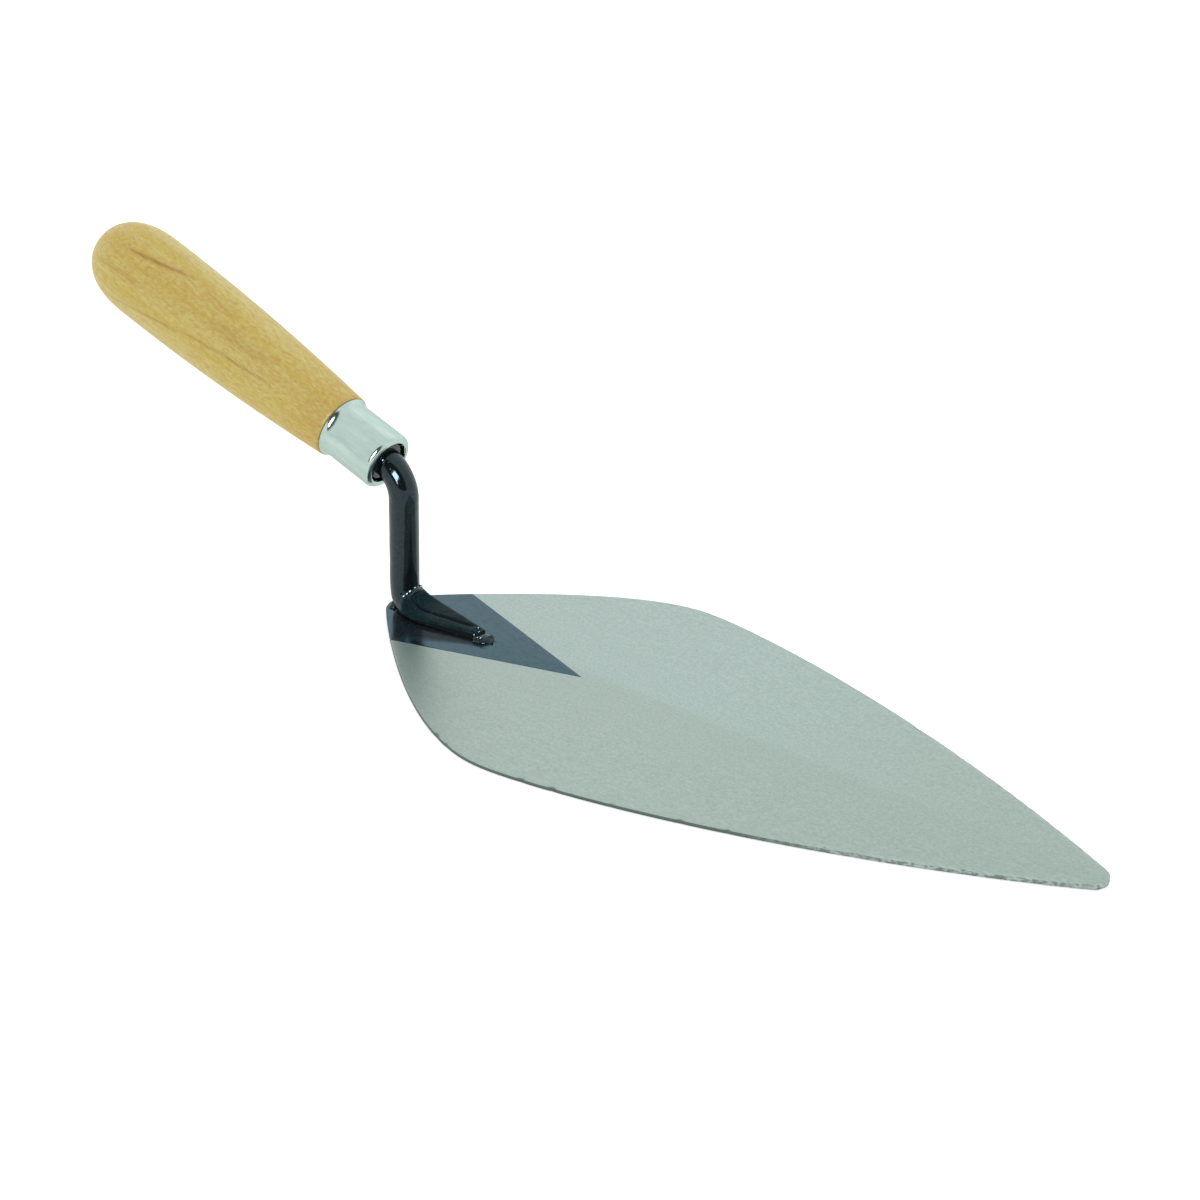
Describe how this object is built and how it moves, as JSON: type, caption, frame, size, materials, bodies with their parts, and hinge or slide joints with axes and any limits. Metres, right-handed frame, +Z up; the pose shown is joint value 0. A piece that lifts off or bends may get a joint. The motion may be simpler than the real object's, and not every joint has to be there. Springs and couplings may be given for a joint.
{
  "type": "brick trowel",
  "caption": "Brick trowel with a long heart-shaped steel blade, a bent black shank, a bright ferrule and a turned wooden handle.",
  "frame": {"origin": "on the blade's flat underside, straight below the foot of the shank, in the plane of symmetry", "axes": "+X along the blade from its heel to its tip, +Y towards the blade's left edge, +Z up out of the blade's top face"},
  "size_m": [0.4191, 0.127, 0.1186],
  "materials": {
    "ground_steel": "satin, ground lengthwise",
    "black_lacquer": "glossy black lacquer",
    "bright_plate": "bright plate",
    "lacquered_wood": "pale hardwood under a semi-gloss clear lacquer"
  },
  "bodies": {
    "root": {"blade": "ground_steel", "shank": "black_lacquer", "heel_weld": "black_lacquer", "toe_weld": "black_lacquer", "ferrule": "bright_plate", "handle": "lacquered_wood"}
  },
  "joints": []
}
